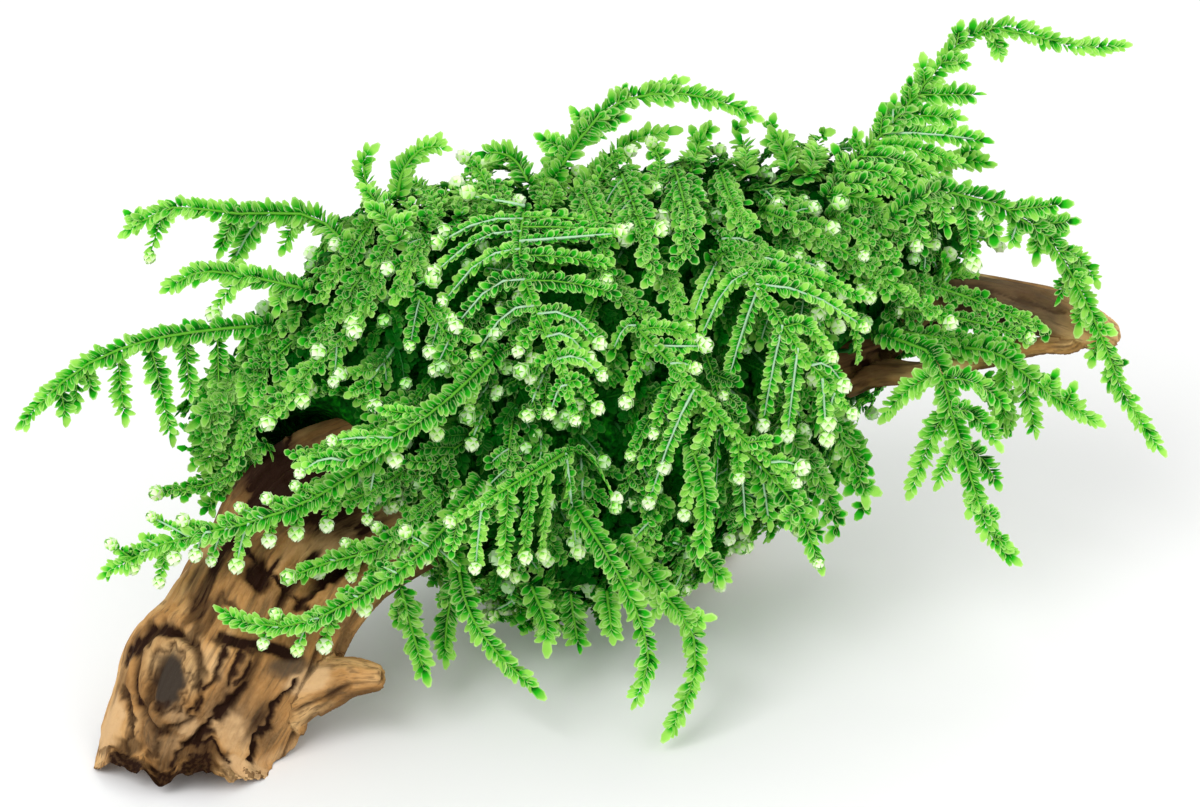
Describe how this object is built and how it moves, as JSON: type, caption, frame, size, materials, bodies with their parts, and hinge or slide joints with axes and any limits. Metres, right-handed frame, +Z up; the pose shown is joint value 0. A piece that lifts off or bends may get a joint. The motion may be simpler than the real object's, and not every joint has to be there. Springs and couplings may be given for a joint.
{
  "type": "weeping moss on driftwood",
  "caption": "Cushion of weeping moss with drooping feathery fronds, grown over a bent, forked piece of driftwood that stands on its broken end and a rear root.",
  "frame": {"origin": "On the surface that the piece stands on, under the middle of its box", "axes": "+X runs to the right along the way that the trunk leans, +Y to the back, +Z up"},
  "size_m": [0.1776, 0.0871, 0.0862],
  "materials": {
    "driftwood": "matte",
    "moss_leaf": "satin",
    "moss_mat": "matte"
  },
  "bodies": {
    "root": {"driftwood_lower_branch": "driftwood", "driftwood_rear_root": "driftwood", "driftwood_side_stub": "driftwood", "driftwood_trunk": "driftwood", "driftwood_upper_branch": "driftwood", "frond_back_far_left": "moss_leaf", "frond_back_far_right": "moss_leaf", "frond_back_left": "moss_leaf", "frond_back_low": "moss_leaf", "frond_back_low_right": "moss_leaf", "frond_back_middle": "moss_leaf", "frond_back_right": "moss_leaf", "frond_back_upper_right": "moss_leaf", "frond_bottom_comb": "moss_leaf", "frond_bottom_left": "moss_leaf", "frond_bottom_left_short": "moss_leaf", "frond_bottom_left_stub": "moss_leaf", "frond_bottom_long": "moss_leaf", "frond_bottom_lowest": "moss_leaf", "frond_bottom_right": "moss_leaf", "frond_bottom_right_inner": "moss_leaf", "frond_bottom_right_outer": "moss_leaf", "frond_bottom_side": "moss_leaf", "frond_bottom_tuft_left": "moss_leaf", "frond_bottom_tuft_middle": "moss_leaf", "frond_bottom_tuft_right": "moss_leaf", "frond_front_comb": "moss_leaf", "frond_front_left": "moss_leaf", "frond_front_middle": "moss_leaf", "frond_front_right": "moss_leaf", "frond_front_top": "moss_leaf", "frond_left_front": "moss_leaf", "frond_left_hanging": "moss_leaf", "frond_left_long": "moss_leaf", "frond_left_short": "moss_leaf", "frond_left_top": "moss_leaf", "frond_right_arch": "moss_leaf", "frond_right_front": "moss_leaf", "frond_right_hanging": "moss_leaf", "frond_right_low": "moss_leaf", "frond_right_short": "moss_leaf", "frond_right_tall": "moss_leaf", "frond_top_curl": "moss_leaf", "frond_top_left": "moss_leaf", "frond_top_left_arch": "moss_leaf", "frond_top_middle": "moss_leaf", "frond_top_second": "moss_leaf", "frond_top_tuft_far": "moss_leaf", "frond_top_tuft_left": "moss_leaf", "frond_top_tuft_middle": "moss_leaf", "frond_top_tuft_right": "moss_leaf", "frond_trunk_long": "moss_leaf", "frond_trunk_low": "moss_leaf", "frond_trunk_short": "moss_leaf", "frond_trunk_upper": "moss_leaf", "moss_cushion": "moss_mat"}
  },
  "joints": []
}
